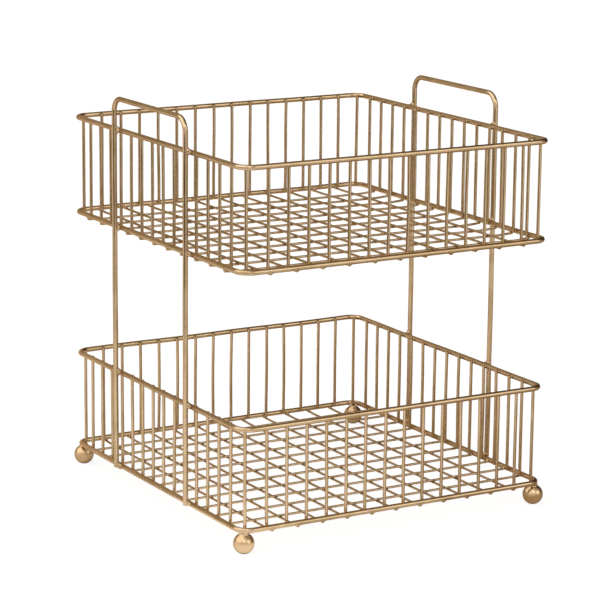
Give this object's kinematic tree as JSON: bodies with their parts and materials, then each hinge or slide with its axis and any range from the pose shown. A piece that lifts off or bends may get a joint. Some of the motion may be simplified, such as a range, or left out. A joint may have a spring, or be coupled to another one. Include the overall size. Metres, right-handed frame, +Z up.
{
  "type": "tiered wire basket",
  "caption": "Tiered wire basket: open welded wire trays held one above another by U-shaped end frames that rise as carrying handles, on ball feet.",
  "frame": {"origin": "on the resting surface, under the middle of the basket", "axes": "+X to the right along the front, +Y to the back, +Z up"},
  "size_m": [0.309, 0.316, 0.3483],
  "materials": {
    "gold_wire": "satin champagne gold over round steel wire",
    "gold_ball": "smooth champagne gold over a steel ball"
  },
  "bodies": {
    "root": {"lower_rim": "gold_wire", "lower_base_ring": "gold_wire", "lower_front_wires": "gold_wire", "lower_back_wires": "gold_wire", "lower_left_wires": "gold_wire", "lower_right_wires": "gold_wire", "lower_corner_wires": "gold_wire", "lower_floor_depth_wires": "gold_wire", "lower_floor_width_wires": "gold_wire", "upper_rim": "gold_wire", "upper_base_ring": "gold_wire", "upper_front_wires": "gold_wire", "upper_back_wires": "gold_wire", "upper_left_wires": "gold_wire", "upper_right_wires": "gold_wire", "upper_corner_wires": "gold_wire", "upper_floor_depth_wires": "gold_wire", "upper_floor_width_wires": "gold_wire", "left_handle_frame": "gold_wire", "right_handle_frame": "gold_wire", "foot_front_left": "gold_ball", "foot_front_right": "gold_ball", "foot_back_left": "gold_ball", "foot_back_right": "gold_ball"}
  },
  "joints": []
}
